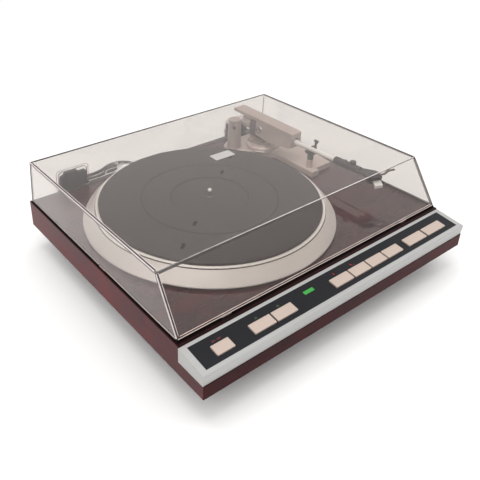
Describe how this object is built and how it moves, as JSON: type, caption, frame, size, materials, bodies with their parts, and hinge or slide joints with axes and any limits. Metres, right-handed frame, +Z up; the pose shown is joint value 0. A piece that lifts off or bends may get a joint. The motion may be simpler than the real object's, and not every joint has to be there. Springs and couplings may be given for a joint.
{
  "type": "record player",
  "caption": "Automatic record player with a wooden plinth, sloping key panel, mat-covered platter, straight tonearm and a smoked hinged lid.",
  "frame": {"origin": "on the floor under the middle of the plinth", "axes": "+Z up, -Y the front with the key panel, +X the tonearm side"},
  "size_m": [0.434, 0.5414, 0.1356],
  "materials": {
    "wood": "glossy dark red-brown veneer",
    "pan_steel": "black painted sheet",
    "foot_rubber": "matt moulded rubber",
    "panel_silver": "satin silver",
    "fascia_black": "black, slightly glossy",
    "display": "green lit window",
    "lamp": "red lamp lens",
    "circuit_board": "bare circuit board",
    "platter_metal": "champagne satin, machined rim",
    "mat_rubber": "matt black-brown ribbed rubber",
    "spindle_steel": "turned steel",
    "magnet": "ferrite",
    "motor_metal": "cast",
    "card": "blank white card",
    "transformer_steel": "lacquered laminations",
    "champagne": "champagne satin",
    "dark_metal": "dark brown-black satin",
    "bright_ring": "bright",
    "arm_tube": "light satin tube",
    "black_plastic": "black moulded",
    "guard_plastic": "light grey moulded",
    "smoked_lid": "smoked clear acrylic",
    "clear_bumper": "soft bumper",
    "hinge_black": "black moulded",
    "socket_panel": "black moulded plate",
    "cord_pvc": "black flexible sheath",
    "key": "champagne keys"
  },
  "bodies": {
    "plinth": {"arm_base_plate": "champagne", "arm_pillar": "champagne", "bottom_pan": "pan_steel", "cord_coil": "cord_pvc", "deck_board": "wood", "display_window": "display", "feet": "foot_rubber", "hinge_base_left": "hinge_black", "hinge_base_right": "hinge_black", "hinge_pins": "spindle_steel", "indicator_leds": "lamp", "main_board": "circuit_board", "mains_cord": "cord_pvc", "mains_cord_tail": "cord_pvc", "mains_plug": "cord_pvc", "motor_base": "motor_metal", "motor_stator": "circuit_board", "panel_bar": "panel_silver", "panel_fascia": "fascia_black", "plinth_frame": "wood", "rest_cradle": "black_plastic", "rest_post": "champagne", "socket_plate": "socket_panel", "strain_relief": "cord_pvc", "switch_board": "circuit_board", "transformer": "transformer_steel"},
    "platter": {"platter": "platter_metal", "platter_mat": "mat_rubber", "spindle": "spindle_steel", "rotor_magnet": "magnet", "mat_label": "card"},
    "lid": {"lid": "smoked_lid", "lid_bumpers": "clear_bumper", "hinge_leaf_left": "hinge_black", "hinge_leaf_right": "hinge_black"},
    "arm_yaw": {"arm_turret": "champagne", "arm_yoke": "dark_metal", "pivot_pins": "spindle_steel"},
    "tonearm": {"arm_cover": "champagne", "pivot_rings": "bright_ring", "arm_core": "dark_metal", "arm_tube": "arm_tube", "headshell_sleeve": "dark_metal", "headshell": "dark_metal", "finger_lift": "bright_ring", "cartridge": "black_plastic"},
    "counterweight": {"counterweight": "champagne"},
    "headshell_knob": {"headshell_knob": "dark_metal"},
    "stylus_guard": {"stylus_guard": "guard_plastic"},
    "rest_clip": {"rest_clip": "black_plastic"},
    "lift_pin": {"lift_pin": "spindle_steel"},
    "button_cue_down": {"button_cue_down": "key"},
    "button_cue_up": {"button_cue_up": "key"},
    "button_power": {"button_power": "key"},
    "button_repeat": {"button_repeat": "key"},
    "button_size": {"button_size": "key"},
    "button_speed_33": {"button_speed_33": "key"},
    "button_speed_45": {"button_speed_45": "key"},
    "button_start": {"button_start": "key"},
    "button_stop": {"button_stop": "key"}
  },
  "joints": [
    {"name": "lid_hinge", "type": "hinge", "parent": "plinth", "child": "lid", "pos_m": [0, 0.19, 0.084], "axis": [-1, 0, 0], "range_deg": [0, 60]},
    {"name": "platter_spin", "type": "hinge", "parent": "plinth", "child": "platter", "pos_m": [-0.0375, 0.022, 0.08], "axis": [0, 0, 1], "continuous": true},
    {"name": "arm_swing", "type": "hinge", "parent": "plinth", "child": "arm_yaw", "pos_m": [0.147, 0.1165, 0.09], "axis": [0, 0, -1], "range_deg": [0, 51]},
    {"name": "arm_lift", "type": "hinge", "parent": "arm_yaw", "child": "tonearm", "pos_m": [0.147, 0.1165, 0.112], "axis": [-0.999, -0.0436, 0], "range_deg": [0, 2.5]},
    {"name": "lift_pin_slide", "type": "slide", "parent": "arm_yaw", "child": "lift_pin", "axis": [0, 0, 1], "range_m": [0, 0.000611]},
    {"name": "counterweight_turn", "type": "hinge", "parent": "tonearm", "child": "counterweight", "pos_m": [0.14569, 0.14647, 0.1135], "axis": [-0.0436, 0.999, 0], "continuous": true},
    {"name": "headshell_screw_turn", "type": "hinge", "parent": "tonearm", "child": "headshell_knob", "pos_m": [0.15446, -0.05434, 0.118], "axis": [0, 0, 1], "continuous": true},
    {"name": "guard_flip", "type": "hinge", "parent": "tonearm", "child": "stylus_guard", "pos_m": [0.15708, -0.09196, 0.107], "axis": [-0.9367, 0.3502, 0], "range_deg": [0, 55]},
    {"name": "rest_clip_swing", "type": "hinge", "parent": "plinth", "child": "rest_clip", "pos_m": [0.15782, 0.01988, 0.1124], "axis": [0.0436, -0.999, 0], "range_deg": [0, 80]},
    {"name": "button_cue_down_press", "type": "slide", "parent": "plinth", "child": "button_cue_down", "axis": [0, 0.1374, -0.9905], "range_m": [0, 0.0016], "stiffness_N_per_m": 500},
    {"name": "button_cue_up_press", "type": "slide", "parent": "plinth", "child": "button_cue_up", "axis": [0, 0.1374, -0.9905], "range_m": [0, 0.0016], "stiffness_N_per_m": 500},
    {"name": "button_power_press", "type": "slide", "parent": "plinth", "child": "button_power", "axis": [0, 0.1374, -0.9905], "range_m": [0, 0.0016], "stiffness_N_per_m": 500},
    {"name": "button_repeat_press", "type": "slide", "parent": "plinth", "child": "button_repeat", "axis": [0, 0.1374, -0.9905], "range_m": [0, 0.0016], "stiffness_N_per_m": 500},
    {"name": "button_size_press", "type": "slide", "parent": "plinth", "child": "button_size", "axis": [0, 0.1374, -0.9905], "range_m": [0, 0.0016], "stiffness_N_per_m": 500},
    {"name": "button_speed_33_press", "type": "slide", "parent": "plinth", "child": "button_speed_33", "axis": [0, 0.1374, -0.9905], "range_m": [0, 0.0016], "stiffness_N_per_m": 500},
    {"name": "button_speed_45_press", "type": "slide", "parent": "plinth", "child": "button_speed_45", "axis": [0, 0.1374, -0.9905], "range_m": [0, 0.0016], "stiffness_N_per_m": 500},
    {"name": "button_start_press", "type": "slide", "parent": "plinth", "child": "button_start", "axis": [0, 0.1374, -0.9905], "range_m": [0, 0.0016], "stiffness_N_per_m": 500},
    {"name": "button_stop_press", "type": "slide", "parent": "plinth", "child": "button_stop", "axis": [0, 0.1374, -0.9905], "range_m": [0, 0.0016], "stiffness_N_per_m": 500}
  ],
  "couplings": [
    {"joint": "lift_pin_slide", "follows": "arm_lift", "m_per_rad": 0.014}
  ]
}
